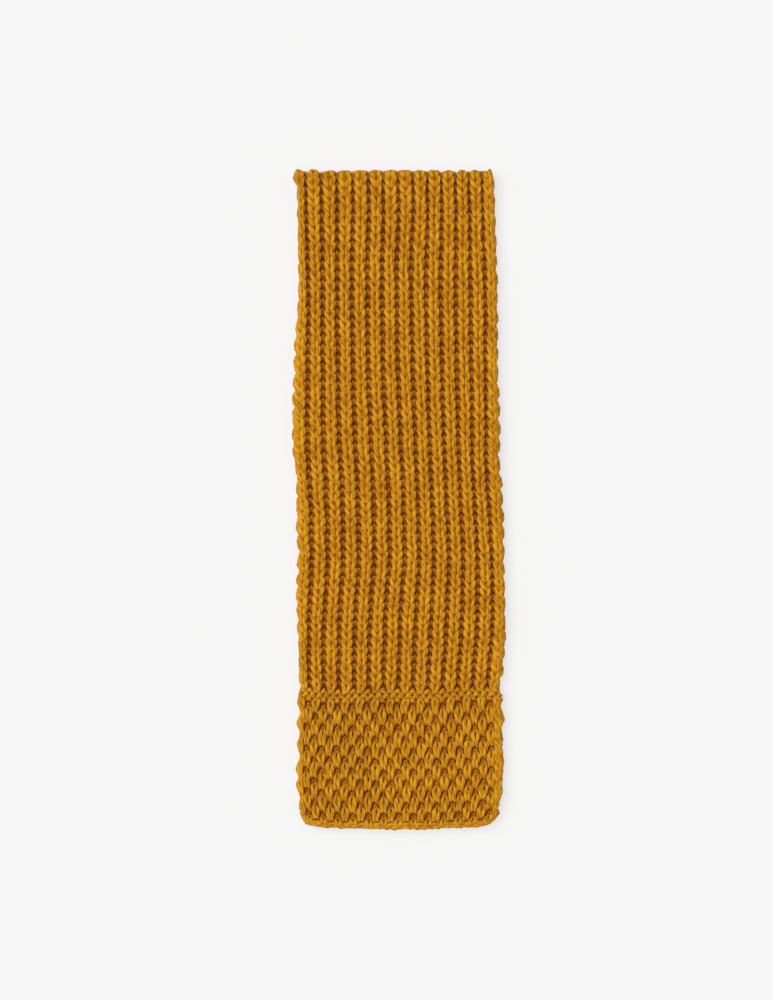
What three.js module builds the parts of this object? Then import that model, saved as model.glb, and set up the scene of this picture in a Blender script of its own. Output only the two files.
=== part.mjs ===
// A knit scarf, folded once across its length and laid flat on a table.
//
// The frame: X runs across the scarf, +Y points to the fold and +Z is up. The origin is on the table, under
// the middle of the folded scarf.
//
// One length of ribbed knitting starts at the upper end band, turns over the fold and runs back underneath
// to the lower end band. Each end band is a honeycomb knit that is closed by a cast-off edge. The rib crests
// and the honeycomb pits are raised in the outer points of each wall, over a plain inside. The underside is
// flat, where the scarf rests.
import * as THREE from "three";

// Driving sizes, in millimetres.
const foldedLength = 804;
const bandLength = 170;
const castOffWidth = 5.5;
const layerThickness = 9.2;
const ribDepth = 4;
const pitDepth = 3.8;
const seamGap = 0.3;
// The two layers stand this much further apart at the fold, and lie together again over foldEase.
const foldLift = 2;
const foldEase = 70;

// The knitting: a knit column and a purl column by turns, with a knit column at both edges.
const ribCount = 14;
const stitchCount = 2 * ribCount - 1;
const pitRows = 11;
const pitPitch = 13.36;
const firstPitRow = 653.3;

// How the scarf lies, read across it at each distance from the fold: both edges, and the first, middle and
// last of the valleys between its ribs. All are millimetres from the centre line, and +X is to the right.
const lie = [
  { fromFold: 0, left: -119, first: -112, middle: -1, last: 100, right: 111.6 },
  { fromFold: 8, left: -129.3, first: -114, middle: -1, last: 101, right: 115.3 },
  { fromFold: 24, left: -125, first: -114, middle: -0.6, last: 101.5, right: 117.1 },
  { fromFold: 54, left: -125, first: -113.5, middle: 0, last: 102.5, right: 117.7 },
  { fromFold: 134, left: -123.8, first: -111, middle: -2.4, last: 104.9, right: 120.2 },
  { fromFold: 231, left: -127.5, first: -111, middle: -1.2, last: 106.1, right: 121.4 },
  { fromFold: 329, left: -129.9, first: -111, middle: 2.4, last: 106.1, right: 123.8 },
  { fromFold: 359, left: -126.9, first: -109.8, middle: 3.9, last: 106.8, right: 123.8 },
  { fromFold: 384, left: -125, first: -108.2, middle: 5.1, last: 108, right: 125.7 },
  { fromFold: 426, left: -125, first: -106.1, middle: 6.1, last: 111, right: 127.5 },
  { fromFold: 475, left: -123.8, first: -106.1, middle: 7.3, last: 113.5, right: 128.7 },
  { fromFold: 524, left: -125, first: -108.6, middle: 3.7, last: 114.7, right: 129.9 },
  { fromFold: 573, left: -123.2, first: -109.8, middle: 1.2, last: 113.5, right: 129.9 },
  { fromFold: 616, left: -122.6, first: -109.8, middle: 0, last: 108.6, right: 126.3 },
  { fromFold: 631, left: -121.4, first: -109.2, middle: -0.6, last: 107.4, right: 122.6 },
  { fromFold: 645, left: -123.2, first: -110.4, middle: -1.8, last: 109, right: 126 },
  { fromFold: 707, left: -123.2, first: -113, middle: -1.2, last: 111.6, right: 126.9 },
  { fromFold: 740, left: -125, first: -113, middle: -1.2, last: 111.6, right: 127 },
  { fromFold: 769, left: -123, first: -112, middle: -1.2, last: 111, right: 125 },
  { fromFold: 791, left: -120.2, first: -110, middle: -1.2, last: 108, right: 120.2 },
];
const firstValleyStitch = 1.5;
const lastValleyStitch = stitchCount - firstValleyStitch;

// The rounded edge of one layer, from its inner corner outwards: inset from the edge in millimetres, and
// level across the layer from -1, inside, to 1, outside.
const edgeProfile = [
  { inset: 2.6, level: -1 },
  { inset: 0.7, level: -0.62 },
  { inset: 0, level: 0 },
  { inset: 1.1, level: 0.6 },
];
// The section of a cast-off edge: along the scarf and through the layer, each as a share of its half size.
const castOffSection = [
  { along: -1, through: -0.45 },
  { along: -0.55, through: -0.95 },
  { along: 0.5, through: -0.95 },
  { along: 1, through: 0 },
  { along: 0.5, through: 0.85 },
  { along: -0.55, through: 0.95 },
  { along: -1, through: 0.45 },
];
// The lower end band's edge lies flat on the table, so its section's lowest points are level.
const castOffThickness = 0.9 * layerThickness;
const stitchBulge = 0.12;

// The end of the scarf bows a little, and its corners are rounded.
const endBow = 4;
const cornerRise = 11;
const cornerSharpness = 16;
// The sides of the end bands swell once for every two rows of pits.
const sideSwell = 1.2;
const firstSwell = 647;

const halfThickness = layerThickness / 2;
const foldY = foldedLength / 2;
const joinFromFold = foldedLength - bandLength;
const underMiddle = halfThickness;
const upperMiddle = layerThickness + seamGap + halfThickness;
const foldRadius = (upperMiddle + foldLift - underMiddle) / 2;
const foldOuterRadius = foldRadius + halfThickness;

const smooth = (t) => {
  const k = Math.min(1, Math.max(0, t));
  return k * k * (3 - 2 * k);
};

// One column of the table at any distance from the fold, on a smooth curve through its rows.
function read(column, fromFold) {
  const last = lie.length - 1;
  const at = Math.min(Math.max(fromFold, lie[0].fromFold), lie[last].fromFold);
  let i = 0;
  while (i < last - 1 && lie[i + 1].fromFold < at) i += 1;
  const slope = (k) => {
    const low = lie[Math.max(k - 1, 0)];
    const high = lie[Math.min(k + 1, last)];
    return (high[column] - low[column]) / (high.fromFold - low.fromFold);
  };
  const span = lie[i + 1].fromFold - lie[i].fromFold;
  const t = (at - lie[i].fromFold) / span;
  const from = lie[i][column];
  const to = lie[i + 1][column];
  const bend = t * (1 - t) * span;
  return from + (to - from) * smooth(t) + bend * ((1 - t) * slope(i) - t * slope(i + 1));
}

// The edges of an end band swell with its rows, and the ribbed length has plain edges.
function swell(fromFold) {
  const share = smooth((fromFold - joinFromFold) / pitPitch);
  return share * sideSwell * Math.cos((Math.PI * (fromFold - firstSwell)) / pitPitch);
}

// The place across the scarf, in millimetres, of a place counted in stitches from its left edge.
function across(stitch, fromFold) {
  const left = read("left", fromFold) - swell(fromFold);
  const right = read("right", fromFold) + swell(fromFold);
  const first = read("first", fromFold);
  const last = read("last", fromFold);
  if (stitch < firstValleyStitch) return left + ((first - left) * stitch) / firstValleyStitch;
  if (stitch > lastValleyStitch) {
    const share = (stitch - lastValleyStitch) / (stitchCount - lastValleyStitch);
    return last + (right - last) * share;
  }
  const t = (stitch - firstValleyStitch) / (lastValleyStitch - firstValleyStitch);
  const bend = read("middle", fromFold) - (first + last) / 2;
  return first + (last - first) * t + 4 * bend * t * (1 - t);
}

// A station is a place along the cloth: the middle of the layer there, and which way its outside faces.
const upperStation = (fromFold) => {
  const lift = foldLift * (1 - smooth((fromFold - foldOuterRadius) / foldEase));
  return { fromFold, y: foldY - fromFold, z: upperMiddle + lift, outY: 0, outZ: 1 };
};
const underStation = (fromFold) => ({ fromFold, y: foldY - fromFold, z: underMiddle, outY: 0, outZ: -1 });
const foldStation = (turn) => {
  const outY = Math.sin(turn);
  const outZ = Math.cos(turn);
  return {
    fromFold: foldOuterRadius * (1 - outY),
    y: foldY - foldOuterRadius + foldRadius * outY,
    z: underMiddle + foldRadius + foldRadius * outZ,
    outY,
    outZ,
  };
};

const pointAt = (station, x, out) => [x, station.y + station.outY * out, station.z + station.outZ * out];

// One row of points across the outside of a layer, from its inner left corner to its inner right corner.
// Each keeps its place in stitches, by which neighbouring rows are joined.
function outerRow(station, stitches, heightAt) {
  const left = across(0, station.fromFold);
  const right = across(stitchCount, station.fromFold);
  const leftEdge = edgeProfile.map(({ inset, level }, i) => ({
    stitch: i - edgeProfile.length,
    point: pointAt(station, left + inset, level * halfThickness),
  }));
  const rightEdge = edgeProfile
    .map(({ inset, level }, i) => ({
      stitch: stitchCount + edgeProfile.length - i,
      point: pointAt(station, right - inset, level * halfThickness),
    }))
    .reverse();
  const middle = stitches.map((stitch) => ({
    stitch,
    point: pointAt(station, across(stitch, station.fromFold), heightAt(stitch)),
  }));
  return [...leftEdge, ...middle, ...rightEdge];
}

// The triangles between two rows, which may have different numbers of points. In each step, the row whose
// next point comes first moves on.
function zip(a, b, triangles) {
  let i = 0;
  let j = 0;
  while (i < a.length - 1 || j < b.length - 1) {
    const nextA = i < a.length - 1 ? a[i + 1].stitch : Infinity;
    const nextB = j < b.length - 1 ? b[j + 1].stitch : Infinity;
    if (nextA <= nextB) {
      triangles.push([a[i], b[j], a[i + 1]]);
      i += 1;
    } else {
      triangles.push([a[i], b[j], b[j + 1]]);
      j += 1;
    }
  }
}

// A closed geometry from triangles of shared points. Triangles that meet in a point twice are left out.
function geometryOf(triangles) {
  const numbers = new Map();
  const positions = [];
  const number = (corner) => {
    if (!numbers.has(corner)) {
      numbers.set(corner, numbers.size);
      positions.push(...corner.point);
    }
    return numbers.get(corner);
  };
  const index = triangles
    .filter(([a, b, c]) => a !== b && b !== c && c !== a)
    .flatMap((corners) => corners.map(number));
  const geometry = new THREE.BufferGeometry();
  geometry.setAttribute("position", new THREE.Float32BufferAttribute(positions, 3));
  geometry.setIndex(index);
  geometry.computeVertexNormals();
  return geometry;
}

// A wall of cloth from its outer rows. Its plain inside runs from edge to edge, through the points that a
// row gives for it.
function wallGeometry(rows) {
  const triangles = [];
  const inside = rows.map((row) => [row[0], ...(row.insidePoints ?? []), row[row.length - 1]]);
  for (let i = 0; i < rows.length - 1; i += 1) {
    zip(rows[i + 1], rows[i], triangles);
    zip(inside[i], inside[i + 1], triangles);
  }
  const end = rows.length - 1;
  zip(rows[0], inside[0], triangles);
  zip(inside[end], rows[end], triangles);
  return geometryOf(triangles);
}

// The outer height of the ribs: round on top, with a narrow valley over each purl column.
const ribShoulder = 0.62;
function ribHeight(stitch, depth) {
  const fromValley = Math.abs(Math.sin((Math.PI * (stitch - firstValleyStitch)) / 2));
  return halfThickness - depth * (1 - fromValley ** 0.6);
}
const ribStitches = Array.from({ length: ribCount }, (_, rib) => {
  const knit = 2 * rib + 0.5;
  return [knit - ribShoulder, knit, knit + ribShoulder, knit + 1];
})
  .flat()
  .filter((stitch) => stitch >= 0.5 && stitch <= stitchCount - 0.5);
const flatStitches = [0.5, stitchCount - 0.5];

function ribLength() {
  const upperSections = 18;
  const foldSections = 8;
  const underSections = 6;
  const start = joinFromFold - seamGap / 2;
  const rows = [];
  for (let i = 0; i < upperSections; i += 1) {
    const fromFold = start + ((foldOuterRadius - start) * i) / upperSections;
    rows.push(outerRow(upperStation(fromFold), ribStitches, (s) => ribHeight(s, ribDepth)));
  }
  for (let i = 0; i < foldSections; i += 1) {
    const turn = (Math.PI * i) / foldSections;
    const depth = ribDepth * (1 - smooth((2 * turn) / Math.PI - 1));
    rows.push(outerRow(foldStation(turn), ribStitches, (s) => ribHeight(s, depth)));
  }
  for (let i = 0; i <= underSections; i += 1) {
    const fromFold = foldOuterRadius + ((start - foldOuterRadius) * i) / underSections;
    rows.push(outerRow(underStation(fromFold), flatStitches, () => halfThickness));
  }
  return wallGeometry(rows);
}

// Where the cloth of an end band stops, before its cast-off edge, and where the scarf itself ends.
function endFromFold(stitch) {
  const fromMiddle = Math.abs((2 * stitch) / stitchCount - 1);
  return foldedLength - endBow * fromMiddle ** 2 - cornerRise * fromMiddle ** cornerSharpness;
}
const bandEnd = foldedLength - castOffWidth - seamGap;
const bandStart = joinFromFold + seamGap / 2;
// A row of an end band follows the bowed end more, the nearer it is to it.
function bowed(fromFold, stitch) {
  const share = (fromFold - bandStart) / (bandEnd - bandStart);
  return fromFold - share * (foldedLength - endFromFold(stitch));
}

function bandRow(stationOf, fromFold, stitches, heightAt) {
  const edge = outerRow(stationOf(bowed(fromFold, 0)), [], heightAt);
  const half = edge.length / 2;
  const middle = stitches.map((stitch) => {
    const at = bowed(fromFold, stitch);
    return { stitch, point: pointAt(stationOf(at), across(stitch, at), heightAt(stitch)) };
  });
  return [...edge.slice(0, half), ...middle, ...edge.slice(half)];
}

// The last row of an end band also has points on the inside, so that its end is square where it bows.
function bandEndRow(stationOf, stitches, heightAt) {
  const row = bandRow(stationOf, bandEnd, stitches, heightAt);
  row.insidePoints = stitches.map((stitch) => {
    const at = bowed(bandEnd, stitch);
    return { stitch, point: pointAt(stationOf(at), across(stitch, at), -halfThickness) };
  });
  return row;
}

// The honeycomb: pits over the purl columns in one row and over the knit columns in the next.
function honeycombHeight(stitch, fromFold) {
  const acrossPits = Math.cos(Math.PI * (stitch - firstValleyStitch));
  const alongPits = Math.cos((Math.PI * (fromFold - firstPitRow)) / pitPitch);
  return halfThickness - pitDepth * ((1 + acrossPits * alongPits) / 2) ** 1.4;
}

function upperBand() {
  const halfStitches = Array.from({ length: 2 * stitchCount - 1 }, (_, i) => 0.5 + i / 2);
  // A low ridge runs across the band where it joins the ribs: its height above the plain wall at each step.
  const ridge = [
    { fromJoin: 0, height: -1.6 },
    { fromJoin: 3.5, height: 0 },
    { fromJoin: 7, height: -0.5 },
  ];
  const rows = ridge.map(({ fromJoin, height }) =>
    bandRow(upperStation, bandStart + fromJoin, halfStitches, () => halfThickness + height),
  );
  for (let i = -1; i <= 2 * pitRows - 1; i += 1) {
    const fromFold = firstPitRow + (i * pitPitch) / 2;
    rows.push(bandRow(upperStation, fromFold, halfStitches, (s) => honeycombHeight(s, fromFold)));
  }
  rows.push(bandEndRow(upperStation, halfStitches, () => halfThickness - pitDepth / 2));
  // The rows run away from the fold here, so each is turned round to keep the faces outwards.
  return wallGeometry(rows.reverse());
}

function underBand() {
  const sections = 8;
  const fromEdge = [0.5, 1, 1.5, 2.5, 4.5, 8.5];
  const stitches = [...fromEdge, stitchCount / 2, ...fromEdge.map((s) => stitchCount - s).reverse()];
  const rows = [];
  for (let i = 0; i < sections; i += 1) {
    const fromFold = bandStart + ((bandEnd - bandStart) * i) / sections;
    rows.push(bandRow(underStation, fromFold, stitches, () => halfThickness));
  }
  rows.push(bandEndRow(underStation, stitches, () => halfThickness));
  return wallGeometry(rows);
}

// A cast-off edge closes the end of a band: a round cord of stitches that follows the bowed end.
function castOffEdge(station) {
  const stepsPerStitch = 2;
  const steps = stitchCount * stepsPerStitch;
  const middle = station(foldedLength).z;
  const rings = [];
  for (let i = 0; i <= steps; i += 1) {
    const stitch = i / stepsPerStitch;
    const end = endFromFold(stitch);
    const bulge = 1 - (i % stepsPerStitch === 0 ? stitchBulge : 0);
    rings.push(
      castOffSection.map(({ along, through }, k) => {
        const fromFold = end - (castOffWidth * (1 - along * (along > 0 ? bulge : 1))) / 2;
        const z = middle + (through * castOffThickness * (through > 0 ? bulge : 1)) / 2;
        return { stitch: k, point: [across(stitch, fromFold), foldY - fromFold, z] };
      }),
    );
  }
  const triangles = [];
  const closed = rings.map((ring) => [...ring, ring[0]]);
  for (let i = 0; i < steps; i += 1) {
    for (let k = 0; k < castOffSection.length; k += 1) {
      const [a, b] = [closed[i][k], closed[i][k + 1]];
      const [c, d] = [closed[i + 1][k], closed[i + 1][k + 1]];
      triangles.push([a, c, b], [b, c, d]);
    }
  }
  for (let k = 1; k < castOffSection.length - 1; k += 1) {
    triangles.push([rings[0][0], rings[0][k], rings[0][k + 1]]);
    triangles.push([rings[steps][0], rings[steps][k + 1], rings[steps][k]]);
  }
  return geometryOf(triangles);
}

// The table under the lower edge is flat, so its section sits with its lowest points on it.
const castOffDrop = (layerThickness - castOffThickness * 0.95) / 2;
const underEdgeStation = (fromFold) => ({ ...underStation(fromFold), z: underMiddle - castOffDrop });

const yarn = new THREE.MeshStandardMaterial({ color: 0xc98a1b, roughness: 0.92, metalness: 0 });
function named(name, geometry) {
  const mesh = new THREE.Mesh(geometry, yarn.clone());
  mesh.name = name;
  return mesh;
}

const scarf = new THREE.Group();
scarf.add(
  named("rib_length", ribLength()),
  named("end_band_upper", upperBand()),
  named("end_band_under", underBand()),
  named("cast_off_upper", castOffEdge(upperStation)),
  named("cast_off_under", castOffEdge(underEdgeStation)),
);

export default scarf;
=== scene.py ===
# %% [markdown]
# # A knit scarf, folded in half and laid flat
#
# A scarf like this is one long strip of knitting in thick mustard wool. Most of it is ribbed: columns of
# knit stitches, which stand up as ribs of nested Vs, with columns of purl stitches sunk between them. Both
# ends have a band of honeycomb knit and a cast-off edge. The scarf is folded once across its length.
#
# Knitting is yarn, so this lesson models the yarn. One course, which is one row of loops, is modelled on a
# flat workspace. It is repeated with Array modifiers, and the result is laid on the folded scarf by moving
# its vertices. Knitting is measured in millimetres here: a size whose name ends in MM is one, and so is
# what is worked out from such sizes. Blender's own lengths are metres, and MM turns the one into the other.

# %% Load the frame
import math

import bpy
import numpy as np
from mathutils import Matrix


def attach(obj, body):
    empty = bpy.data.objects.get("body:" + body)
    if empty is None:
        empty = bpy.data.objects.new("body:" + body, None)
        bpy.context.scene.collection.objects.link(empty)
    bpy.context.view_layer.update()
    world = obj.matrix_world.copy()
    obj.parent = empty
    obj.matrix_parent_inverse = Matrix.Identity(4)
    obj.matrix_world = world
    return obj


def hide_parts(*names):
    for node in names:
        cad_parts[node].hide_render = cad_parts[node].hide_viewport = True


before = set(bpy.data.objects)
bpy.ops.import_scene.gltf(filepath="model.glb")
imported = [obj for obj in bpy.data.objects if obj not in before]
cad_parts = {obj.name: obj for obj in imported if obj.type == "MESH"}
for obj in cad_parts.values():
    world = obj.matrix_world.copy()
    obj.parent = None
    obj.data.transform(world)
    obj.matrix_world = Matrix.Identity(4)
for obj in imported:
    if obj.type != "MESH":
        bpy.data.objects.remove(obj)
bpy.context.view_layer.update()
print("Solids in the frame:", len(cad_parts))

# %% [markdown]
# ## The stage
#
# The scarf was photographed from straight above on pale grey. An orthographic camera could copy that, but a
# long lens far away shows depth as a real camera does, with hardly any perspective. Its distance makes one
# pixel MM_PER_PX wide at the height of the scarf's edges, and it looks a little to the left of the middle
# of the scarf, as in the photograph.

# %% Camera
MM = 0.001
PICTURE_WIDTH_PX = 773
PICTURE_HEIGHT_PX = 1000
MM_PER_PX = 1.22
SCARF_MIDDLE_PX = (399, 499.5)
EDGE_HEIGHT = 12 * MM
LENS_MM = 100
SENSOR_MM = 36
CLIP_END = 50

camera_distance = PICTURE_HEIGHT_PX * MM_PER_PX * MM * LENS_MM / SENSOR_MM
camera_x = (PICTURE_WIDTH_PX / 2 - SCARF_MIDDLE_PX[0]) * MM_PER_PX * MM
camera_y = (SCARF_MIDDLE_PX[1] - PICTURE_HEIGHT_PX / 2) * MM_PER_PX * MM
bpy.ops.object.select_all(action="DESELECT")
camera_place = (camera_x, camera_y, EDGE_HEIGHT + camera_distance)
bpy.ops.object.camera_add(location=camera_place, rotation=(0, 0, 0))
camera = bpy.context.object
camera.data.lens = LENS_MM
camera.data.sensor_width = SENSOR_MM
camera.data.clip_end = CLIP_END
bpy.context.scene.camera = camera
print("Camera distance, m:", round(camera_distance, 3))

# %% [markdown]
# ## Floor and light
#
# The light is broad and soft, and a little stronger from the left, so the left side of each rib is
# brighter. Area lamps would light one part of a long scarf more than another, so it is a sun with a wide
# angle. The floor gives off some light of its own, because the photograph's background has hardly any
# shadow.

# %% Floor and light
FLOOR_SIZE = 12
FLOOR_COLOR = (0.3, 0.3, 0.3, 1)
FLOOR_GLOW = 0.628
SKY_COLOR = (1.0, 0.99, 0.98, 1)
SKY_STRENGTH = 0.42
KEY_STRENGTH = 2.15
KEY_ANGLE = math.radians(60)
KEY_TILT = math.radians(30)
KEY_TURN = math.radians(160)
KEY_PLACE = (0, 0, 3)

bpy.ops.mesh.primitive_plane_add(size=FLOOR_SIZE, location=(0, 0, 0))
floor = bpy.context.object
floor.name = "floor"
floor_material = bpy.data.materials.new("pale floor")
floor_material.use_nodes = True
floor_shader = floor_material.node_tree.nodes["Principled BSDF"]
floor_shader.inputs["Base Color"].default_value = FLOOR_COLOR
floor_shader.inputs["Roughness"].default_value = 1
floor_shader.inputs["Specular IOR Level"].default_value = 0
floor_shader.inputs["Emission Color"].default_value = (1, 1, 1, 1)
floor_shader.inputs["Emission Strength"].default_value = FLOOR_GLOW
floor.data.materials.append(floor_material)

bpy.ops.object.light_add(type="SUN", location=KEY_PLACE)
key = bpy.context.object
key.name = "key light"
key.data.energy = KEY_STRENGTH
key.data.angle = KEY_ANGLE
key.rotation_euler = (0, KEY_TILT, KEY_TURN)

world = bpy.data.worlds.new("studio")
world.use_nodes = True
world.node_tree.nodes["Background"].inputs["Color"].default_value = SKY_COLOR
world.node_tree.nodes["Background"].inputs["Strength"].default_value = SKY_STRENGTH
bpy.context.scene.world = world
bpy.context.scene.view_settings.view_transform = "Standard"
print("Key light, degrees from straight above:", round(math.degrees(KEY_TILT)))

# %% [markdown]
# ## How the scarf lies
#
# The scarf is soft, so its edges and ribs sway a little. A cloth simulation would make a sway of its own,
# so the scarf is measured instead. The same few sizes that shape the solid model are repeated here: at each
# distance from the fold, where both edges are, and the first, middle and last of the valleys between the
# ribs. A smooth curve through the rows gives every place between them.

# %% The scarf's sizes
FOLDED_LENGTH_MM = 804
BAND_LENGTH_MM = 170
CAST_OFF_MM = 5.5
LAYER_MM = 9.2
SEAM_MM = 0.3
FOLD_LIFT_MM = 2
FOLD_EASE_MM = 70
STITCHES = 27
FIRST_VALLEY = 1.5
LAST_VALLEY = STITCHES - FIRST_VALLEY
PIT_PITCH_MM = 13.36

# Columns: from the fold, left edge, first valley, middle valley, last valley, right edge. All millimetres.
LIE_MM = np.array(
    [
        (0, -119, -112, -1, 100, 111.6),
        (8, -129.3, -114, -1, 101, 115.3),
        (24, -125, -114, -0.6, 101.5, 117.1),
        (54, -125, -113.5, 0, 102.5, 117.7),
        (134, -123.8, -111, -2.4, 104.9, 120.2),
        (231, -127.5, -111, -1.2, 106.1, 121.4),
        (329, -129.9, -111, 2.4, 106.1, 123.8),
        (359, -126.9, -109.8, 3.9, 106.8, 123.8),
        (384, -125, -108.2, 5.1, 108, 125.7),
        (426, -125, -106.1, 6.1, 111, 127.5),
        (475, -123.8, -106.1, 7.3, 113.5, 128.7),
        (524, -125, -108.6, 3.7, 114.7, 129.9),
        (573, -123.2, -109.8, 1.2, 113.5, 129.9),
        (616, -122.6, -109.8, 0, 108.6, 126.3),
        (631, -121.4, -109.2, -0.6, 107.4, 122.6),
        (645, -123.2, -110.4, -1.8, 109, 126),
        (707, -123.2, -113, -1.2, 111.6, 126.9),
        (740, -125, -113, -1.2, 111.6, 127),
        (769, -123, -112, -1.2, 111, 125),
        (791, -120.2, -110, -1.2, 108, 120.2),
    ]
)
END_BOW_MM = 4
CORNER_RISE_MM = 11
CORNER_SHARPNESS = 16
SIDE_SWELL_MM = 1.2
FIRST_SWELL_MM = 647
SWELL_END_MM = 781

half_layer = LAYER_MM / 2
fold_y = FOLDED_LENGTH_MM / 2
join = FOLDED_LENGTH_MM - BAND_LENGTH_MM
under_middle = half_layer
upper_middle = LAYER_MM + SEAM_MM + half_layer
fold_radius = (upper_middle + FOLD_LIFT_MM - under_middle) / 2
fold_outer = fold_radius + half_layer
band_start = join + SEAM_MM / 2
band_end = FOLDED_LENGTH_MM - CAST_OFF_MM - SEAM_MM
print("Rib length from the fold to the band, mm:", round(join))

# %% The scarf's edges and ribs
def smooth(t):
    k = np.clip(t, 0, 1)
    return k * k * (3 - 2 * k)


def read(column, from_fold):
    """One column of the table at any distance from the fold, on a smooth curve through its rows."""
    knots = LIE_MM[:, 0]
    values = LIE_MM[:, column]
    high = np.minimum(np.arange(len(knots)) + 1, len(knots) - 1)
    low = np.maximum(np.arange(len(knots)) - 1, 0)
    slopes = (values[high] - values[low]) / (knots[high] - knots[low])
    at = np.clip(from_fold, knots[0], knots[-1])
    i = np.clip(np.searchsorted(knots, at, side="right") - 1, 0, len(knots) - 2)
    span = knots[i + 1] - knots[i]
    t = (at - knots[i]) / span
    bend = t * (1 - t) * span * ((1 - t) * slopes[i] - t * slopes[i + 1])
    return values[i] + (values[i + 1] - values[i]) * smooth(t) + bend


def across(stitch, from_fold):
    """The place across the scarf, in millimetres, of a place counted in stitches from its left edge."""
    share = smooth((from_fold - join) / PIT_PITCH_MM) * smooth((SWELL_END_MM - from_fold) / PIT_PITCH_MM)
    swell = share * SIDE_SWELL_MM * np.cos(math.pi * (from_fold - FIRST_SWELL_MM) / PIT_PITCH_MM)
    left = read(1, from_fold) - swell
    right = read(5, from_fold) + swell
    first, middle, last = (read(column, from_fold) for column in (2, 3, 4))
    t = (stitch - FIRST_VALLEY) / (LAST_VALLEY - FIRST_VALLEY)
    inner = first + (last - first) * t + 4 * (middle - (first + last) / 2) * t * (1 - t)
    at_left = left + (first - left) * stitch / FIRST_VALLEY
    at_right = last + (right - last) * (stitch - LAST_VALLEY) / (STITCHES - LAST_VALLEY)
    return np.where(stitch < FIRST_VALLEY, at_left, np.where(stitch > LAST_VALLEY, at_right, inner))


def bowed(from_fold, stitch):
    """The end bows and its corners are rounded. The rows of the band bow more and more towards the end."""
    from_middle = np.abs(2 * np.clip(stitch, 0, STITCHES) / STITCHES - 1)
    short = END_BOW_MM * from_middle**2 + CORNER_RISE_MM * from_middle**CORNER_SHARPNESS
    share = np.clip((from_fold - band_start) / (band_end - band_start), 0, 1)
    return from_fold - share * short


sway = read(3, LIE_MM[:, 0])
print("The middle valley sways by, mm:", round(float(sway.max() - sway.min()), 1))

# %% [markdown]
# ## The flat workspace
#
# Yarn is easy to model flat and hard to model on a fold, so all of it is modelled flat first, as if the
# scarf were cut open and laid out. In this workspace x runs across the scarf, with STITCH_MM for each
# stitch, y runs along the cloth, and z is the height above the middle of the layer. y is 0 at the fold,
# positive along the upper layer and negative along the lower one. A Curve modifier could bend the cloth
# round the fold, but it knows nothing of the sway, so the vertices are placed with formulas. The route says
# where the middle of the cloth runs: straight along each layer, and in a half circle round the fold.

# %% The route of the cloth
STITCH_MM = 9.33
YARN_PLANE_MM = 2.5
half_turn = (fold_radius + YARN_PLANE_MM) * math.pi / 2
cloth_half = join - fold_outer + half_turn


def along_cloth(from_fold):
    """Where in the workspace a place on the upper layer is, by its distance from the fold."""
    return from_fold - fold_outer + half_turn


def past_turn(along):
    """How far along its flat layer a place is, counted from the end of the half circle."""
    return np.maximum(np.abs(along) - half_turn, 0)


def route(stitch, along):
    """The distance from the fold, the y and z of the middle of the cloth, and the way out of the cloth."""
    straight = past_turn(along)
    turn = math.pi / 2 * (1 - np.clip(along / half_turn, -1, 1))
    from_fold = bowed(fold_outer * (1 - np.sin(turn)) + straight, stitch)
    rise = FOLD_LIFT_MM * (1 - smooth(straight / FOLD_EASE_MM))
    flat_z = np.where(along > 0, upper_middle + rise, under_middle)
    turned_z = under_middle + fold_radius * (1 + np.cos(turn))
    on_fold = np.abs(along) < half_turn
    middle_y = np.where(on_fold, fold_y - fold_outer + fold_radius * np.sin(turn), fold_y - from_fold)
    middle_z = np.where(on_fold, turned_z, flat_z)
    out_y = np.where(on_fold, np.sin(turn), 0)
    out_z = np.where(on_fold, np.cos(turn), np.sign(along))
    return from_fold, middle_y, middle_z, out_y, out_z


print("Cloth from the fold to the join, mm:", round(cloth_half, 1))

# %% [markdown]
# ## Round ribs and a closed fold
#
# The cloth is thinner at its sides, so the yarn there lies nearer to its middle. The ribs are a little
# rounder than the stitches alone would make them. Round the fold they are rounder still and lie closer
# together, with shallow valleys, which gives the fold its row of scallops. All this could be sculpted, but
# a few sines of the place across treat every rib alike. The underside is pressed flat just above the table.

# %% Points on the folded scarf
EDGE_INSET_MM = 0.6
EDGE_DROP_MM = 2.4
DROP_STITCHES = 0.75
FOLD_NEAR_MM = 15
FOLD_DROP_SHARE = 0.5
FOLD_CORNER_MM = 10
UNDER_INSET_MM = 1.2
RIB_ROUND_MM = 0.4
ROUND_EASE_MM = 8
FOLD_ROUND_MM = 2.6
FOLD_FILL_MM = 6.2
FILL_SHARPNESS = 4
FOLD_CROWN_MM = 1.2
FOLD_SPREAD = 0.08
CLOSE_SPREAD = 0.12
CLOSE_EASE_MM = 110
UNDERSIDE_MM = 0.05


def in_ribs(along):
    """1 in the ribs and 0 in the end bands, with a short ease before the join."""
    return smooth((cloth_half - np.abs(along)) / ROUND_EASE_MM)


def by_fold(along):
    """1 round the fold and 0 from FOLD_NEAR_MM onwards on each layer."""
    return 1 - smooth(past_turn(along) / FOLD_NEAR_MM)


def near_side(stitch):
    """1 at either side of the scarf and 0 from one stitch inwards."""
    return smooth(1 - np.minimum(stitch, STITCHES - stitch))


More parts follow.
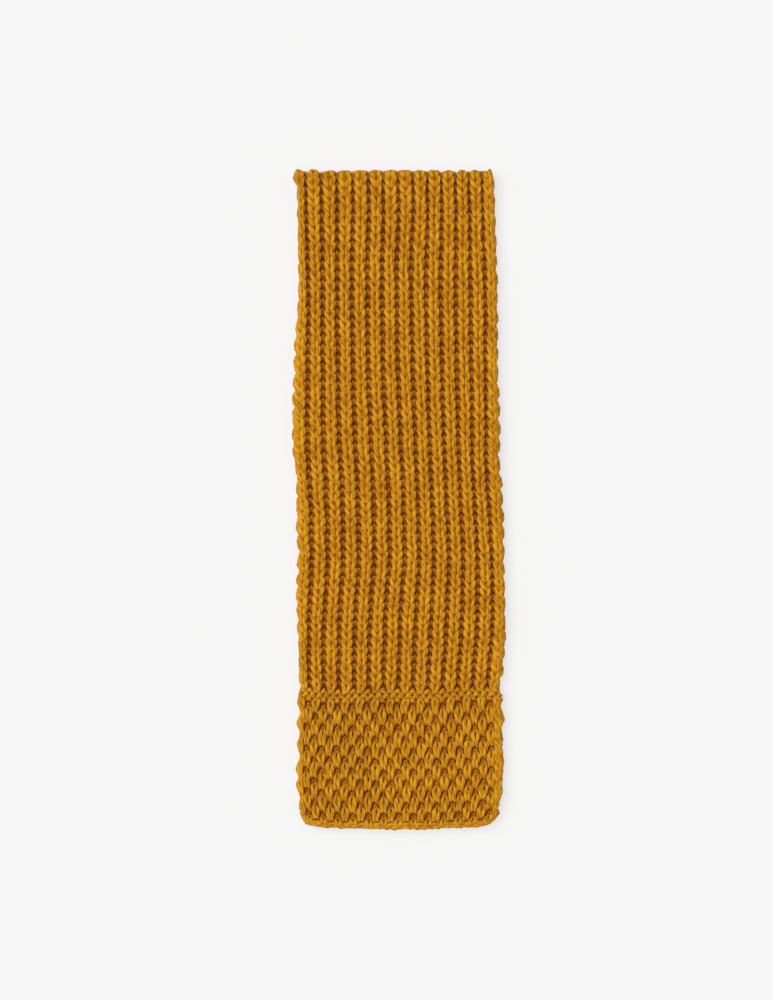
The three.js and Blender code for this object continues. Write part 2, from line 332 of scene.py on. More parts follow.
def rounded(stitch, along, out):
    """How far out of the cloth a point lies, with thin sides and ribs that are roundest at the fold."""
    near_fold = by_fold(along)
    from_side = np.minimum(stitch, STITCHES - stitch)
    drop = EDGE_DROP_MM * (1 - (1 - FOLD_DROP_SHARE) * near_fold)
    out = out - drop * smooth((DROP_STITCHES - from_side) / DROP_STITCHES)
    on_crest = np.cos(math.pi * (stitch - 0.5))
    round_mm = RIB_ROUND_MM + (FOLD_ROUND_MM - RIB_ROUND_MM) * near_fold
    out = out + in_ribs(along) * round_mm * on_crest
    in_valley = (1 - on_crest) / 2
    out = out + near_fold * FOLD_FILL_MM * in_valley**FILL_SHARPNESS
    on_flank = np.sin(math.pi * (stitch - 0.5))
    return out - near_fold * FOLD_CROWN_MM * on_flank**2


def closed_up(stitch, along):
    """Widens each rib over its valleys, so that the ribs lie closer together towards the fold."""
    spread = FOLD_SPREAD * by_fold(along) + CLOSE_SPREAD * (1 - smooth(past_turn(along) / CLOSE_EASE_MM))
    on_flank = np.sin(math.pi * (stitch - 0.5))
    return stitch + spread * (1 - near_side(stitch)) * on_flank * np.abs(on_flank)


def folded_place(points_mm):
    """Workspace points, in millimetres, on the folded scarf, in metres."""
    stitch = points_mm[:, 0] / STITCH_MM
    along = points_mm[:, 1]
    from_fold, middle_y, middle_z, out_y, out_z = route(stitch, along)
    out = rounded(stitch, along, points_mm[:, 2])
    inset = np.where(stitch < STITCHES / 2, 1, -1) * EDGE_INSET_MM * near_side(stitch)
    stitch = closed_up(stitch, along)
    x = across(stitch, np.maximum(from_fold, FOLD_CORNER_MM)) + inset
    under_share = np.clip(-along / half_turn, 0, 1)
    x -= UNDER_INSET_MM * under_share * (2 * stitch / STITCHES - 1)
    z = np.maximum(middle_z + out_z * out, UNDERSIDE_MM)
    return np.stack([x, middle_y + out_y * out, z], axis=1) * MM


def vertex_places(piece):
    places = np.empty(len(piece.data.vertices) * 3)
    piece.data.vertices.foreach_get("co", places)
    return places.reshape(-1, 3)


def set_vertex_places(piece, places):
    piece.data.vertices.foreach_set("co", np.ascontiguousarray(places).ravel())
    piece.data.update()


crest_x = (STITCHES / 2 - 1) * STITCH_MM
crest = folded_place(np.array([(crest_x, half_turn, YARN_PLANE_MM)]))[0]
print("Yarn on the crest of a rib by the fold, mm above the table:", round(crest[2] / MM, 1))

# %% [markdown]
# ## Uneven hands
#
# No two stitches are quite alike. Moving them one by one would take days, so grids of small random moves
# are blended smoothly over the workspace. The first grid is a little finer than the stitches and makes each
# of them different. The slow one makes whole areas looser or tighter. The third works in the ribs alone,
# and slips each rib along its neighbours, so that their courses don't line up. The random numbers come from
# fixed seeds, so the scarf is the same each time.

# %% Small random moves
UNEVEN_SEED = 11
STITCH_GRID_MM = (STITCH_MM * 0.75, 9.0)
SLOW_GRID_MM = (55.0, 70.0)
RIB_GRID_MM = (STITCH_MM * 2, 90.0)
STITCH_MOVE_MM = (0.8, 0.95, 0.7)
SLOW_MOVE_MM = (0.5, 2.2, 0.35)
RIB_MOVE_MM = (0.4, 2.2, 0.3)
GRID_HALF_MM = 1.2 * FOLDED_LENGTH_MM
GRID_MARGIN = 2


def uneven(points_mm, size, grid_mm, seed):
    """A smooth random move for each point, up to about size in each direction."""
    columns = int(STITCHES * STITCH_MM / grid_mm[0]) + 3 * GRID_MARGIN
    rows = int(2 * GRID_HALF_MM / grid_mm[1]) + 3 * GRID_MARGIN
    moves = np.random.default_rng(seed).uniform(-1, 1, (rows, columns, 3)) * np.array(size)
    x = points_mm[:, 0] / grid_mm[0] + GRID_MARGIN
    y = (points_mm[:, 1] + GRID_HALF_MM) / grid_mm[1] + GRID_MARGIN
    column = np.clip(np.floor(x).astype(int), 0, columns - 2)
    row = np.clip(np.floor(y).astype(int), 0, rows - 2)
    s = smooth(x - column)[:, None]
    t = smooth(y - row)[:, None]
    near = moves[row, column] * (1 - s) + moves[row, column + 1] * s
    far = moves[row + 1, column] * (1 - s) + moves[row + 1, column + 1] * s
    return near * (1 - t) + far * t


sample = np.array([(STITCH_MM, 0, 0), (2 * STITCH_MM, 0, 0)])
sample_moves = uneven(sample, STITCH_MOVE_MM, STITCH_GRID_MM, UNEVEN_SEED)
print("Moves of two stitches, mm:", sample_moves.round(2).tolist())

# %% [markdown]
# ## Laying a piece
#
# Three things happen to each piece of yarn. Its depth in the cloth is noted for the painted shade in the
# wool's colour, while the piece is still flat. Then it gets its uneven moves. Last, it is taken to its
# place on the scarf. A Shrinkwrap modifier would flatten its loops onto the cloth, so each vertex is moved
# by the same formulas.

# %% Lay a piece on the folded scarf
FOLD_STRETCH = 0.07
# Where the painted shade starts below the top of the yarn, and over how much depth it reaches its full.
SHADE_DEPTH_TOP_MM = 1.7
SHADE_DEPTH_RANGE_MM = 4.2
OPEN_EDGE_STITCHES = 0.8


def eased(along):
    """The courses lie a little further apart at the fold, and closer together towards the bands."""
    share = np.abs(along) / cloth_half
    return np.where(share < 1, along * (1 + FOLD_STRETCH * (1 - share)), along)


def mark_shade_depth(piece, points_mm):
    """Notes how deep in the cloth each point lies, which sets the painted shade of the wool: 0 on top of
    the yarn, 1 at the bottom of the valleys.

    The edges and the fold are open to the light all round, so they count as the top and get no painted
    shade.
    """
    stitch = points_mm[:, 0] / STITCH_MM
    depth = np.clip((SHADE_DEPTH_TOP_MM - points_mm[:, 2]) / SHADE_DEPTH_RANGE_MM, 0, 1)
    depth *= smooth(np.minimum(stitch, STITCHES - stitch) / OPEN_EDGE_STITCHES)
    depth *= smooth(np.abs(points_mm[:, 1]) / half_turn)
    attribute = piece.data.attributes.new("depth", "FLOAT", "POINT")
    attribute.data.foreach_set("value", depth)


def lay(piece, stitch_move_mm=STITCH_MOVE_MM, slow_move_mm=SLOW_MOVE_MM):
    """Takes a piece from the workspace to the folded scarf, with the unevenness of real knitting."""
    places = vertex_places(piece) / MM
    mark_shade_depth(piece, places)
    moves = uneven(places, stitch_move_mm, STITCH_GRID_MM, UNEVEN_SEED)
    moves += uneven(places, slow_move_mm, SLOW_GRID_MM, UNEVEN_SEED + 1)
    ribbed = in_ribs(places[:, 1])[:, None]
    moves += ribbed * uneven(places, RIB_MOVE_MM, RIB_GRID_MM, UNEVEN_SEED + 2)
    places += moves
    places[:, 1] = eased(places[:, 1])
    set_vertex_places(piece, folded_place(places))
    return piece


ends = eased(np.array([half_turn, cloth_half]))
print("Half turn and join on the stretched cloth, mm:", ends.round(1).tolist())

# %% [markdown]
# ## One strand of yarn
#
# A yarn is a tube that follows a path. It could be a curve with a bevel, but a grid gives control of the
# section and a UV map along the yarn, which the twist of the wool follows later. The grid is rolled up
# along the path and its two long edges are merged. The section is a little flatter than it is wide, because
# loops press on each other. A path has four columns: x, y and z, and the yarn's thickness there as a share
# of the full one.

# %% Roll a grid into yarn
YARN_HALF_WIDTH_MM = 2.75
YARN_HALF_HEIGHT_MM = 2.15
LEAST_SIDE = 0.2
MERGE_DISTANCE = 1e-6
YARN_SHIFT = 0.0053


def select_only(piece):
    bpy.ops.object.select_all(action="DESELECT")
    piece.select_set(True)
    bpy.context.view_layer.objects.active = piece


def yarn_strand(name, path_mm, sides, repeats=False):
    """An open tube of yarn along a path in the workspace. repeats says that its copies join end to end.

    Where the yarn runs steeply, LEAST_SIDE keeps the direction of its width from flickering.
    """
    bpy.ops.object.select_all(action="DESELECT")
    bpy.ops.mesh.primitive_grid_add(x_subdivisions=len(path_mm) - 1, y_subdivisions=sides, size=1)
    strand = bpy.context.object
    strand.name = name
    path = path_mm[:, :3]
    forward = np.gradient(path, axis=0)
    if repeats:
        forward[[0, -1]] = (path[1] - path[0] + path[-1] - path[-2]) / 2
    forward /= np.linalg.norm(forward, axis=1, keepdims=True)
    side = np.cross(forward, (0, 0, 1))
    side /= np.maximum(np.linalg.norm(side, axis=1, keepdims=True), LEAST_SIDE)
    over = np.cross(side, forward)
    angle = np.linspace(0, 2 * math.pi, sides + 1)[:, None, None]
    ring = np.cos(angle) * side * YARN_HALF_WIDTH_MM + np.sin(angle) * over * YARN_HALF_HEIGHT_MM
    set_vertex_places(strand, (path + path_mm[:, 3:] * ring).reshape(-1, 3) * MM)
    step = np.linalg.norm(np.diff(path, axis=0), axis=1)
    length = np.concatenate([[0], np.cumsum(step)]) * MM
    corners = np.empty(len(strand.data.loops), dtype=np.int32)
    strand.data.loops.foreach_get("vertex_index", corners)
    uv = np.stack([length[corners % len(path)], corners // len(path) / sides], axis=1)
    strand.data.uv_layers[0].data.foreach_set("uv", uv.ravel())
    bpy.ops.object.mode_set(mode="EDIT")
    bpy.ops.mesh.select_all(action="SELECT")
    bpy.ops.mesh.remove_doubles(threshold=MERGE_DISTANCE)
    bpy.ops.object.mode_set(mode="OBJECT")
    return strand


def close_ends(piece):
    """Closes the open ends of the yarn, turns all faces outwards and shades them smoothly."""
    select_only(piece)
    bpy.ops.object.mode_set(mode="EDIT")
    bpy.ops.mesh.select_all(action="SELECT")
    bpy.ops.mesh.fill_holes(sides=0)
    bpy.ops.mesh.normals_make_consistent(inside=False)
    bpy.ops.object.mode_set(mode="OBJECT")
    bpy.ops.object.shade_smooth()
    return piece


def repeat(piece, count, step_mm, joined=False):
    """Repeats a piece with an Array modifier. Each copy's UV map is shifted, so its streaks differ."""
    select_only(piece)
    array = piece.modifiers.new("repeat", "ARRAY")
    array.count = count
    array.use_relative_offset = False
    array.use_constant_offset = True
    array.constant_offset_displace = [s * MM for s in step_mm]
    array.use_merge_vertices = joined
    array.merge_threshold = MERGE_DISTANCE
    array.offset_u = YARN_SHIFT
    bpy.ops.object.modifier_apply(modifier=array.name)


def move(piece, step_mm):
    set_vertex_places(piece, vertex_places(piece) + np.array(step_mm) * MM)


print("Yarn, mm wide and high:", 2 * YARN_HALF_WIDTH_MM, 2 * YARN_HALF_HEIGHT_MM)

# %% [markdown]
# ## The path of a stitch
#
# Each stitch starts at its left foot, climbs as the left leg, turns over its head and comes down as the
# right leg. A tall stitch shows as a V, with its legs in front. A low stitch is drawn in behind its
# neighbours. Tall and low stitches take turns, and in the ribs the tall ones are more than twice as wide.
# The feet point away from the fold on the upper layer. The path could be traced point by point, but with a
# few sines one function makes every kind of stitch.

# %% The path of one stitch
EDGE_FOOT_MM = 1.6
FOOT_MM = -2.0
FOOT_THICKNESS = 0.75
TIP_LIFT = 0.1
HEAD_THINNING = 0.2


def one_stitch(steps, width_mm, lean, reach_mm, rise_mm, front_mm, head_mm, thickness, skew_mm):
    """One stitch from foot to foot. Its last point is left out, because the next stitch starts there.

    reach_mm is the place of the feet, rise_mm is half the height of the stitch, and lean says how far its
    legs lean apart. front_mm is how far they stand out, head_mm is how far its head does, and skew_mm moves
    the head to the right.
    """
    t = np.linspace(0, 2 * math.pi, steps, endpoint=False)
    foot = ((1 + np.cos(t)) / 2) ** 3
    head = ((1 - np.cos(t)) / 2) ** 2
    x = width_mm * (t / (2 * math.pi) + lean * np.sin(2 * t)) + skew_mm * head
    y = reach_mm - rise_mm * (1 - np.cos(t))
    z = front_mm * np.sin(t) ** 2 * (1 + TIP_LIFT * np.cos(t)) + FOOT_MM * foot + head_mm * head
    thick = thickness * (1 - HEAD_THINNING * head) + (FOOT_THICKNESS - thickness) * foot
    return np.stack([x, y, z, thick], axis=1)


def stitch_edges(tall_first, wider_mm):
    """Where the stitches of a course meet. wider_mm widens the tall ones, at the left and right edges."""
    number = np.arange(STITCHES + 1)
    wider = wider_mm[0] + (wider_mm[1] - wider_mm[0]) * number / STITCHES
    tall_on_left = (number % 2 == 1) == tall_first
    edges = number * STITCH_MM + np.where(tall_on_left, wider, -wider)
    edges[0] = EDGE_FOOT_MM
    edges[-1] = STITCHES * STITCH_MM - EDGE_FOOT_MM
    return edges


def course_path(steps, tall, low, wider_mm, tall_first=True, skew_mm=0.0):
    """A course from the left edge of the scarf to the right one, with a tall stitch at each edge."""
    edges = stitch_edges(tall_first, wider_mm)
    parts = []
    for i in range(STITCHES):
        at_edge = i in (0, STITCHES - 1)
        shape = tall if at_edge or (i % 2 == 0) == tall_first else low
        width = edges[i + 1] - edges[i]
        part = one_stitch(steps, width, **shape, skew_mm=0.0 if at_edge else skew_mm)
        part[:, 0] += edges[i]
        parts.append(part)
    last_foot = parts[0][:1].copy()
    last_foot[0, 0] = edges[-1]
    return np.concatenate(parts + [last_foot])


print("Stitches in a course:", STITCHES)

# %% [markdown]
# ## There and back
#
# A knitter works across, turns the work and comes back, so two courses are one strand with a turn at each
# edge of the scarf. The turns make the small scallops along its edges. Each course could be a strand of its
# own, but its loose ends would show there. The pair is modelled once, and its copies join end to end, which
# makes one unbroken yarn.

# %% Two courses as one strand
EDGE_BULGE_MM = 0.3
TURN_STEPS = 5


def edge_turn(start, end, bulge_mm):
    """The yarn's way round the edge of the scarf, between its two ends."""
    t = np.linspace(0, math.pi, TURN_STEPS + 2)[1:-1, None]
    arc = start + (end - start) * (1 - np.cos(t)) / 2
    arc[:, 0] += bulge_mm * np.sin(t[:, 0])
    return arc


def there_and_back(first, second, step_mm):
    """Two courses, step_mm apart along the cloth, with a turn at each edge of the scarf."""
    move_on = np.array([0, step_mm, 0, 0])
    back = second[::-1] + move_on
    start = back[-1:] - 2 * move_on
    left = edge_turn(start[0], first[0], -EDGE_BULGE_MM)
    right = edge_turn(first[-1], back[0], EDGE_BULGE_MM)
    return np.concatenate([start, left, first, right, back])


print("Steps of each turn:", TURN_STEPS)

# %% [markdown]
# ## The ribs
#
# In the ribs, every knit stitch stands on a knit stitch, so they form columns of nested Vs, with the purl
# stitches sunk in the valleys between. An image of ribs on a flat sheet would be quick, but its edges and
# its fold would be smooth, so every loop is real. The underside lies on the table, so its yarn can have
# fewer faces.

# %% Rib courses
RIB_COURSES = 116
SHOWN_COURSES = 60
RIBS_WIDER_MM = (2.0, 2.5)
RIB_REACH = 0.78
course_pitch = 2 * cloth_half / RIB_COURSES
rib_reach = RIB_REACH * course_pitch
KNIT = dict(lean=0.214, reach_mm=rib_reach, rise_mm=rib_reach, front_mm=3.2, head_mm=-1.6, thickness=1.15)
PURL = dict(lean=0.0, reach_mm=rib_reach, rise_mm=2.4, front_mm=-1.7, head_mm=-1.5, thickness=1.0)


def rib_knitting(name, first, count, steps, sides):
    """Courses of the ribs, counted from the join with the upper end band. count is even."""
    course = course_path(steps, KNIT, PURL, RIBS_WIDER_MM)
    pair = yarn_strand(name, there_and_back(course, course, -course_pitch), sides, repeats=True)
    move(pair, (0, cloth_half - (first + 0.5) * course_pitch, 0))
    repeat(pair, count // 2, (0, -2 * course_pitch, 0), joined=True)
    return lay(close_ends(pair))


shown_half = SHOWN_COURSES // 2
ribs_by_band = rib_knitting("ribs_by_band", 0, shown_half, steps=14, sides=8)
ribs_by_fold = rib_knitting("ribs_by_fold", shown_half, shown_half, steps=14, sides=8)
hidden_courses = RIB_COURSES - SHOWN_COURSES
ribs_under = rib_knitting("ribs_under", SHOWN_COURSES, hidden_courses, steps=10, sides=6)
print("Course pitch, mm:", round(course_pitch, 2))

# %% [markdown]
# ## The honeycomb bands
#
# In the honeycomb, the tall and the low stitches change places in each course. The pits could be pressed
# into a plain sheet, but they would have no loops round them, so the two kinds of stitch make them here as
# on the needles. Every V has a pit above it and a pit below. The low stitch is thin and lies at the bottom
# of its pit, where it shows as a small arch. Every head leans a little to one side, which makes the rows
# less stiff. The last course is drawn together by the casting off.

# %% Honeycomb courses
PIT_ROWS = 11
FIRST_PIT_MM = 653.3
PITS_WIDER_MM = (0.1, 0.1)
PIT_REACH = 0.76
HEAD_SKEW_MM = 1.2
HONEYCOMB_MOVE_MM = (1.3, 1.3, 0.9)
DRAW_FROM_MM = 790.0
DRAW_SHARE = 0.6
honeycomb_rows = PIT_ROWS + 1
pit_reach = PIT_REACH * PIT_PITCH_MM
TALL = dict(lean=0.182, reach_mm=pit_reach, rise_mm=pit_reach, front_mm=2.8, head_mm=-1.7, thickness=1.05)
LOW = dict(lean=0.03, reach_mm=pit_reach, rise_mm=5.7, front_mm=-1.0, head_mm=-0.8, thickness=0.6)


def honeycomb(name, side, steps, sides):
    """A whole band. side is 1 on the upper layer and -1 on the under one."""
    first = course_path(steps, TALL, LOW, PITS_WIDER_MM, True, HEAD_SKEW_MM)
    second = course_path(steps, TALL, LOW, PITS_WIDER_MM, False, HEAD_SKEW_MM)
    step = side * PIT_PITCH_MM
    band = yarn_strand(name, there_and_back(first, second, step), sides, repeats=True)
    move(band, (0, side * along_cloth(FIRST_PIT_MM), 0))
    repeat(band, honeycomb_rows // 2, (0, 2 * step, 0), joined=True)
    close_ends(band)
    places = vertex_places(band) / MM
    beyond = np.maximum(side * places[:, 1] - along_cloth(DRAW_FROM_MM), 0)
    places[:, 1] -= side * (1 - DRAW_SHARE) * beyond
    set_vertex_places(band, places * MM)
    return lay(band, stitch_move_mm=HONEYCOMB_MOVE_MM)


honeycomb_upper = honeycomb("honeycomb_upper", 1, steps=14, sides=8)
honeycomb_under = honeycomb("honeycomb_under", -1, steps=10, sides=6)
print("Honeycomb courses on each band:", honeycomb_rows)

# %% [markdown]
# ## The ridge
#
# Where the ribs meet the honeycomb, a few courses are purled all across. Their loops show as low rows of
# small bumps. They could be low stitches as in the ribs, but little more than their bumps would show, so
# three wavy strands stand for them. Each is half a stitch on from the one before, and the last lies deeper
# in the cloth.

# %% Ridge bumps
RIDGE_ROWS_MM = (635.8, 641.0, 646.4)
RIDGE_HEIGHTS_MM = (0.2, 0.2, -1.2)
RIDGE_SWAY_MM = 0.8
RIDGE_REACH_MM = 1.5
RIDGE_BUMP_MM = 1.7


def join_pieces(pieces, name):
    bpy.ops.object.select_all(action="DESELECT")
    for piece in pieces:
        piece.select_set(True)
    bpy.context.view_layer.objects.active = pieces[0]
    bpy.ops.object.join()
    pieces[0].name = name
    return pieces[0]


def ridge(name, side, steps, sides):
    t = np.linspace(0, 2 * math.pi, steps * STITCHES) * STITCHES
    full = np.ones(len(t))
    rows = []
    for row, (from_fold, height) in enumerate(zip(RIDGE_ROWS_MM, RIDGE_HEIGHTS_MM)):
        turned = t + math.pi * row
        x = STITCH_MM * t / (2 * math.pi) + RIDGE_SWAY_MM * np.sin(turned)
        y = RIDGE_REACH_MM * np.cos(turned)
        z = height - RIDGE_BUMP_MM * np.cos(turned)
        strand = yarn_strand(f"{name}_{row}", np.stack([x, y, z, full], axis=1), sides)
        move(strand, (0, side * along_cloth(from_fold), 0))
        rows.append(close_ends(strand))
    return lay(join_pieces(rows, name))


ridge_upper = ridge("ridge_upper", 1, steps=12, sides=8)
ridge_under = ridge("ridge_under", -1, steps=8, sides=6)
print("Rows of bumps in each ridge:", len(RIDGE_ROWS_MM))

# %% [markdown]
# ## The cast-off edges
#
# Casting off draws each stitch over the next, which leaves a chain along the end. A twisted cord would be
# simpler, but it would lack the small loops of the chain. One link is a narrow loop along the edge. It is
# modelled once, repeated and laid along the bowed end of the scarf.

# %% Cast-off chains
CHAIN_LINKS = 34
CHAIN_MIDDLE_MM = 4.6
CHAIN_INSET_MM = 3.2
LINK_GAP = 0.12
LINK_REACH = 0.95
LINK_WIDTH_MM = 1.7
LINK_BOW_MM = 0.9
LINK_BEND_MM = 1.0
LINK_RISE_MM = 2.4
LINK_SINK_MM = 0.6
LINK_THICKNESS = 0.78
CHAIN_MOVE_MM = (0.6, 0.5, 0.4)
CHAIN_SLOW_MOVE_MM = (0.5, 0.6, 0.35)


def cast_off(name, side, steps, sides):
    t = np.linspace(LINK_GAP * math.pi, (2 - LINK_GAP) * math.pi, steps)
    pitch = (STITCHES * STITCH_MM - 2 * CHAIN_INSET_MM) / CHAIN_LINKS
    x = -LINK_REACH * pitch * np.cos(t)
    y = LINK_WIDTH_MM * (t / math.pi - 1) - LINK_BOW_MM * np.sin(t) + LINK_BEND_MM * np.sin(2 * t)
    z = LINK_RISE_MM * np.sin(t) ** 2 - LINK_SINK_MM
    link = yarn_strand(name, np.stack([x, y, z, np.full(steps, LINK_THICKNESS)], axis=1), sides)
    close_ends(link)
    end = along_cloth(FOLDED_LENGTH_MM - CHAIN_MIDDLE_MM)
    move(link, (CHAIN_INSET_MM + pitch / 2, side * end, 0))
    repeat(link, CHAIN_LINKS, (pitch, 0, 0))
    return lay(link, CHAIN_MOVE_MM, CHAIN_SLOW_MOVE_MM)


cast_off_chain_upper = cast_off("cast_off_chain_upper", 1, steps=14, sides=7)
cast_off_chain_under = cast_off("cast_off_chain_under", -1, steps=10, sides=6)
print("Links along each end:", CHAIN_LINKS)

# %% [markdown]
# ## The cloth behind the yarn
#
# Behind the stitches is more yarn than anyone can see. It could be left out, but then the table would show
# between the loops. A plain sheet in the depth of each layer closes those gaps, and carries the size that
# the cloth was knitted to. It is a grid laid on the same route, with a Solidify modifier for its thickness,
# and it is kept above the table. It wears a darker copy of the wool, whose colour is painted shade.

# %% Backing sheets
RIB_BACKING_MM = (-1.3, 1.9)
BAND_BACKING_MM = (-2.5, 0.0)
BACKING_THICKNESS_MM = 1.4
BACKING_INSET_STITCHES = 0.5
STEPS_PER_STITCH = 4
RIB_BACKING_ROWS = 110
BAND_BACKING_ROWS = 20


def backing(name, from_mm, to_mm, rows, depth_mm):
    """A sheet over the whole width. depth_mm says how high it lies, and how much higher under the ribs."""
    bpy.ops.object.select_all(action="DESELECT")
    columns = STEPS_PER_STITCH * STITCHES
    bpy.ops.mesh.primitive_grid_add(x_subdivisions=columns, y_subdivisions=rows, size=1)
    sheet = bpy.context.object
    sheet.name = name
    places = vertex_places(sheet) + 0.5
    width = STITCHES - 2 * BACKING_INSET_STITCHES
    across_stitches = BACKING_INSET_STITCHES + width * places[:, 0]
    y = from_mm + (to_mm - from_mm) * places[:, 1]
    z = depth_mm[0] + depth_mm[1] * np.cos(math.pi * (across_stitches - 0.5))
    flat = np.stack([across_stitches * STITCH_MM, y, z], axis=1)
    mark_shade_depth(sheet, flat)
    corners = np.empty(len(sheet.data.loops), dtype=np.int32)
    sheet.data.loops.foreach_get("vertex_index", corners)
    uv = np.stack([y * MM, across_stitches], axis=1)[corners]
    sheet.data.uv_layers[0].data.foreach_set("uv", uv.ravel())
    set_vertex_places(sheet, folded_place(flat))
    solidify = sheet.modifiers.new("thickness", "SOLIDIFY")
    solidify.thickness = BACKING_THICKNESS_MM * MM
    solidify.offset = -1
    select_only(sheet)
    bpy.ops.object.modifier_apply(modifier=solidify.name)
    solid = vertex_places(sheet)
    solid[:, 2] = np.maximum(solid[:, 2], UNDERSIDE_MM * MM)
    set_vertex_places(sheet, solid)
    bpy.ops.object.shade_smooth()
    return sheet


band_from = along_cloth(band_start)
band_to = along_cloth(band_end)
rib_cloth = backing("rib_cloth", -cloth_half, cloth_half, RIB_BACKING_ROWS, RIB_BACKING_MM)
band_cloth_upper = backing("band_cloth_upper", band_from, band_to, BAND_BACKING_ROWS, BAND_BACKING_MM)
band_cloth_under = backing("band_cloth_under", -band_to, -band_from, BAND_BACKING_ROWS, BAND_BACKING_MM)
print("Rib cloth, flat length in mm:", round(2 * cloth_half))

# %% [markdown]
# ## The twist of the yarn
#
# Wool yarn is a few plies twisted together, each a bundle of fibres. Modelled as tubes they would take
# millions of faces, and an image would need a file, so nodes draw them. Plies and streaks follow the UV
# map: u is the length along the yarn in metres, and v goes once round it. The finest fibres read Object
# coordinates. Both wool materials use the twist, so it is a node group with inputs of its own.

# %% Yarn twist
TWIST_INPUTS = (("Plies per metre", 80.0), ("Fibre scale", 900.0), ("Streaks per metre", 130.0))
PLIES = 3.0
PLY_SHADE = 0.4
FIBRE_DETAIL = 3
FIBRE_ROUGHNESS = 0.65
STREAKS_AROUND = 9.0
STREAK_TWIST = 2.0
STREAK_DETAIL = 2
STREAK_SHARE = 1.6


def twist_group():
    """Turns the yarn's UV map into a height of plies and fibres, and a mask for their colour.

    The mask is random tone from the fibres and streaks, with painted shade in the grooves between the
    plies.
    """
    group = bpy.data.node_groups.new("yarn twist", "ShaderNodeTree")
    for name, default in TWIST_INPUTS:
        socket = group.interface.new_socket(name=name, in_out="INPUT", socket_type="NodeSocketFloat")
        socket.default_value = default
    group.interface.new_socket(name="Height", in_out="OUTPUT", socket_type="NodeSocketFloat")
    group.interface.new_socket(name="Tone and ply shade", in_out="OUTPUT", socket_type="NodeSocketFloat")
    nodes = group.nodes
    link = group.links.new
    given = nodes.new("NodeGroupInput")
    result = nodes.new("NodeGroupOutput")
    uv = nodes.new("ShaderNodeUVMap")
    split = nodes.new("ShaderNodeSeparateXYZ")
    link(uv.outputs["UV"], split.inputs["Vector"])

    def maths(operation, a, b=None):
        node = nodes.new("ShaderNodeMath")
        node.operation = operation
        for socket, value in zip(node.inputs, (a, b)):
            if value is None:
                continue
            if isinstance(value, (int, float)):
                socket.default_value = value
            else:
                link(value, socket)
        return node.outputs[0]

    along = maths("MULTIPLY", split.outputs["X"], given.outputs["Plies per metre"])
    around = maths("MULTIPLY", split.outputs["Y"], PLIES)
    plies = maths("ABSOLUTE", maths("SINE", maths("MULTIPLY", maths("ADD", along, around), math.pi)))
    objects = nodes.new("ShaderNodeTexCoord")
    fibres = nodes.new("ShaderNodeTexNoise")
    fibres.inputs["Detail"].default_value = FIBRE_DETAIL
    fibres.inputs["Roughness"].default_value = FIBRE_ROUGHNESS
    link(objects.outputs["Object"], fibres.inputs["Vector"])
    link(given.outputs["Fibre scale"], fibres.inputs["Scale"])
    streak_place = nodes.new("ShaderNodeCombineXYZ")
    streak_along = maths("MULTIPLY", split.outputs["X"], given.outputs["Streaks per metre"])
    streak_around = maths("MULTIPLY", split.outputs["Y"], STREAKS_AROUND)
    streak_turn = maths("MULTIPLY", along, STREAK_TWIST)
    link(streak_along, streak_place.inputs["X"])
    link(maths("ADD", streak_around, streak_turn), streak_place.inputs["Y"])
    streaks = nodes.new("ShaderNodeTexNoise")
    streaks.inputs["Scale"].default_value = 1
    streaks.inputs["Detail"].default_value = STREAK_DETAIL
    link(streak_place.outputs["Vector"], streaks.inputs["Vector"])
    streak = maths("MULTIPLY", streaks.outputs["Fac"], STREAK_SHARE)
    surface = maths("ADD", fibres.outputs["Fac"], streak)
    link(maths("ADD", plies, surface), result.inputs["Height"])
    # The ply part of the colour mask is painted shade: the grooves between the plies are darker. Fibres and
    # streaks are random tone.
    link(maths("ADD", maths("MULTIPLY", plies, PLY_SHADE), surface), result.inputs["Tone and ply shade"])
    return group


yarn_twist = twist_group()
print("Nodes in the twist:", len(yarn_twist.nodes))

# %% [markdown]
# ## Mustard wool
#
# The wool is matte, with a soft bloom of fine fibres, which the sheen gives. Its colour changes a little
# from place to place and from streak to streak, between a light and a dark mustard. In the depth of the
# cloth shade is painted into it: it is browner there, because light comes there only through other wool.
# Shadows alone leave it too pale, so the depth attribute noted on each piece mixes painted shade in. The
# cloth behind the yarn wears a darker copy of the wool, which is painted shade as well.

# %% Wool materials
WOOL_LIGHT = (0.83, 0.405, 0.014, 1)
WOOL_DARK = (0.52, 0.172, 0.001, 1)
# Painted shade: darker, redder wool for the depth of the cloth, where shade falls.
WOOL_PAINTED_SHADE = (0.34, 0.075, 0.0004, 1)
WOOL_PAINTED_DEEP_SHADE = (0.12, 0.016, 0.0002, 1)
WOOL_SURFACE = {
    "Roughness": 0.85,
    "Specular IOR Level": 0.1,
    "Sheen Weight": 0.15,
    "Sheen Roughness": 0.5,
    "Sheen Tint": (1.0, 0.78, 0.3, 1),
}
PATCH_SCALE = 45
PATCH_DETAIL = 4
DARKEST_SHADE = 1.65
LIGHTEST_SHADE = 2.4
BUMP_MM = 1.2


def blend(nodes, link, share, start, end):
    """A colour between start and end, which are colours or sockets, by a share from another socket."""
    mix = nodes.new("ShaderNodeMix")
    mix.data_type = "RGBA"
    link(share, mix.inputs["Factor"])
    for socket, colour in ((mix.inputs["A"], start), (mix.inputs["B"], end)):
        if isinstance(colour, tuple):
            socket.default_value = colour
        else:
            link(colour, socket)
    return mix.outputs["Result"]


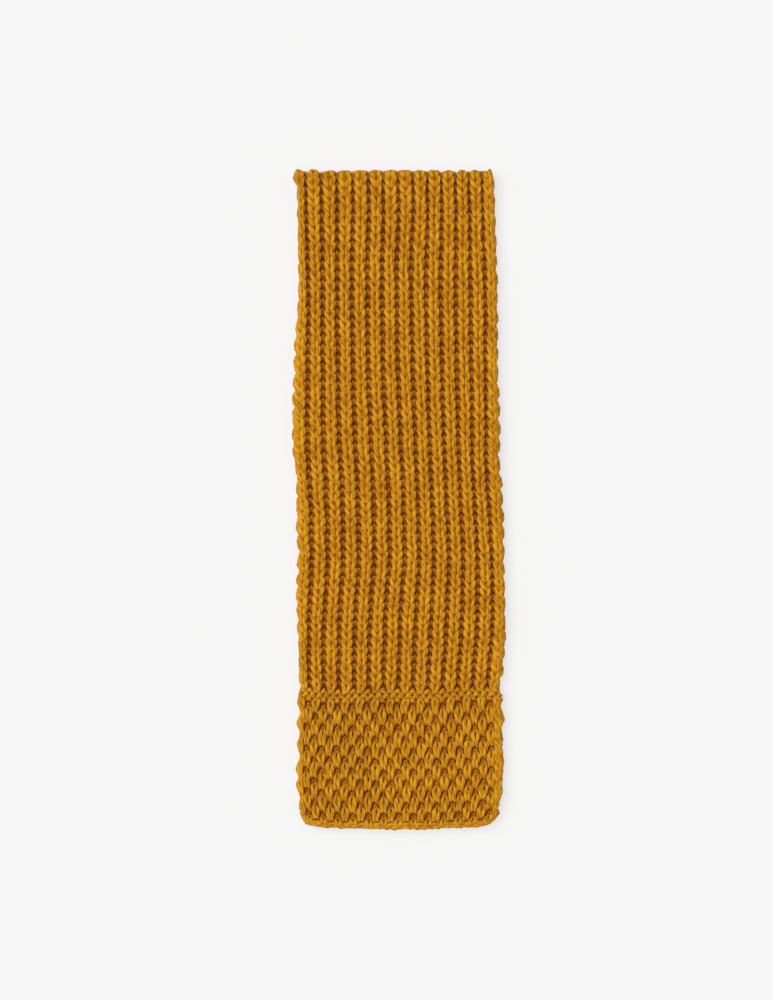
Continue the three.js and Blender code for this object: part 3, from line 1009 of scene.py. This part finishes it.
def wool(name, light, dark, bump_strength):
    material = bpy.data.materials.new(name)
    material.use_nodes = True
    nodes = material.node_tree.nodes
    link = material.node_tree.links.new
    shader = nodes["Principled BSDF"]
    for socket_name, value in WOOL_SURFACE.items():
        shader.inputs[socket_name].default_value = value
    twist = nodes.new("ShaderNodeGroup")
    twist.node_tree = yarn_twist
    objects = nodes.new("ShaderNodeTexCoord")
    patches = nodes.new("ShaderNodeTexNoise")
    patches.inputs["Scale"].default_value = PATCH_SCALE
    patches.inputs["Detail"].default_value = PATCH_DETAIL
    link(objects.outputs["Object"], patches.inputs["Vector"])
    total = nodes.new("ShaderNodeMath")
    total.operation = "ADD"
    link(patches.outputs["Fac"], total.inputs[0])
    link(twist.outputs["Tone and ply shade"], total.inputs[1])
    shade = nodes.new("ShaderNodeMapRange")
    shade.inputs["From Min"].default_value = DARKEST_SHADE
    shade.inputs["From Max"].default_value = LIGHTEST_SHADE
    link(total.outputs[0], shade.inputs["Value"])
    # Painted shade: the depth attribute mixes the shaded colours in at the bottom of valleys and pits.
    depth = nodes.new("ShaderNodeAttribute")
    depth.attribute_name = "depth"
    surface = blend(nodes, link, shade.outputs["Result"], dark, light)
    painted_shade = blend(nodes, link, shade.outputs["Result"], WOOL_PAINTED_DEEP_SHADE, WOOL_PAINTED_SHADE)
    link(blend(nodes, link, depth.outputs["Fac"], surface, painted_shade), shader.inputs["Base Color"])
    bump = nodes.new("ShaderNodeBump")
    bump.inputs["Strength"].default_value = bump_strength
    bump.inputs["Distance"].default_value = BUMP_MM * MM
    link(twist.outputs["Height"], bump.inputs["Height"])
    link(bump.outputs["Normal"], shader.inputs["Normal"])
    return material


mustard_wool = wool("mustard wool", WOOL_LIGHT, WOOL_DARK, bump_strength=0.8)
# A darker copy of the wool for the cloth behind the yarn: its colours are painted shade.
painted_shade_wool = wool("mustard wool with painted shade", WOOL_DARK, WOOL_PAINTED_SHADE, bump_strength=0.4)
print("Materials:", mustard_wool.name, "and", painted_shade_wool.name)

# %% [markdown]
# ## Which piece stands for what
#
# Every piece rides on the scarf's one body. The cloths and the cast-off chains replace the plain solids.
# The yarn lies on its cloth.

# %% Ride and replace
yarn_pieces = [
    ribs_by_band,
    ribs_by_fold,
    ribs_under,
    honeycomb_upper,
    honeycomb_under,
    ridge_upper,
    ridge_under,
    cast_off_chain_upper,
    cast_off_chain_under,
]
cloth_pieces = [rib_cloth, band_cloth_upper, band_cloth_under]
for piece in yarn_pieces + cloth_pieces:
    piece.data.materials.clear()
    piece.data.materials.append(mustard_wool if piece in yarn_pieces else painted_shade_wool)
    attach(piece, "root")
    print(piece.name, "triangles:", sum(len(face.vertices) - 2 for face in piece.data.polygons))

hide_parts("rib_length")
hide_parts("end_band_upper")
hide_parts("end_band_under")
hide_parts("cast_off_upper")
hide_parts("cast_off_under")
